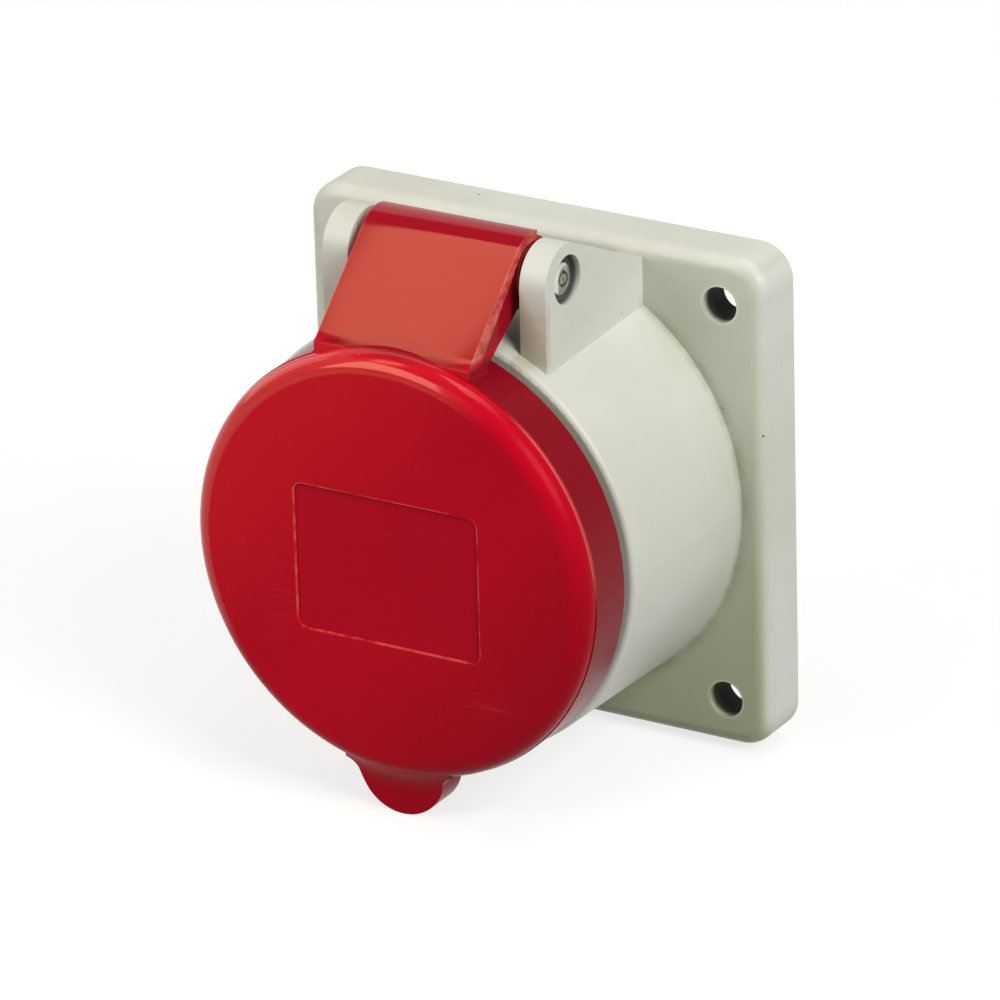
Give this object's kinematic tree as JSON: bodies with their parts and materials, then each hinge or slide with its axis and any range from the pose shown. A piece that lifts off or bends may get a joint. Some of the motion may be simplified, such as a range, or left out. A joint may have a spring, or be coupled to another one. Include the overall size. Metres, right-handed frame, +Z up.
{
  "type": "panel socket",
  "caption": "Industrial panel socket with a square flange, round collar and sprung hinged lid over recessed round contacts.",
  "frame": {"origin": "on the socket axis, in the plane where the flange meets the panel", "axes": "-Y to the front, where the plug enters; +Z up, towards the lid's hinge; +X to the right seen from the front"},
  "size_m": [0.074, 0.0699, 0.0828],
  "materials": {
    "housing_plastic": "satin moulded, light grey",
    "lid_plastic": "gloss moulded, red",
    "insert_plastic": "satin moulded, grey",
    "terminal_plastic": "satin moulded, black",
    "seal_rubber": "matt black",
    "contact_brass": "bright turned",
    "pin_steel": "bright drawn",
    "screw_steel": "zinc plated",
    "spring_steel": "bright spring wire"
  },
  "bodies": {
    "housing": {"housing": "housing_plastic", "front_insert": "insert_plastic", "rear_insert": "terminal_plastic", "contact_l1": "contact_brass", "contact_l2": "contact_brass", "contact_l3": "contact_brass", "contact_earth": "contact_brass", "spring_ring_l1": "spring_steel", "spring_ring_l2": "spring_steel", "spring_ring_l3": "spring_steel", "spring_ring_earth": "spring_steel", "phase_clamp_screws": "screw_steel", "earth_clamp_screw": "screw_steel", "centre_screw": "screw_steel", "insert_screws": "screw_steel", "insert_seal": "seal_rubber", "panel_seal": "seal_rubber", "hinge_pin": "pin_steel", "hinge_spring": "spring_steel"},
    "lid": {"lid": "lid_plastic", "lid_seal": "seal_rubber"}
  },
  "joints": [
    {"name": "lid_hinge", "type": "hinge", "parent": "housing", "child": "lid", "pos_m": [0, -0.0291, 0.0389], "axis": [-1, 0, 0], "range_deg": [0, 105], "stiffness_Nm_per_rad": 0.12, "springref_deg": -51.57, "deforming": ["hinge_spring"]}
  ]
}
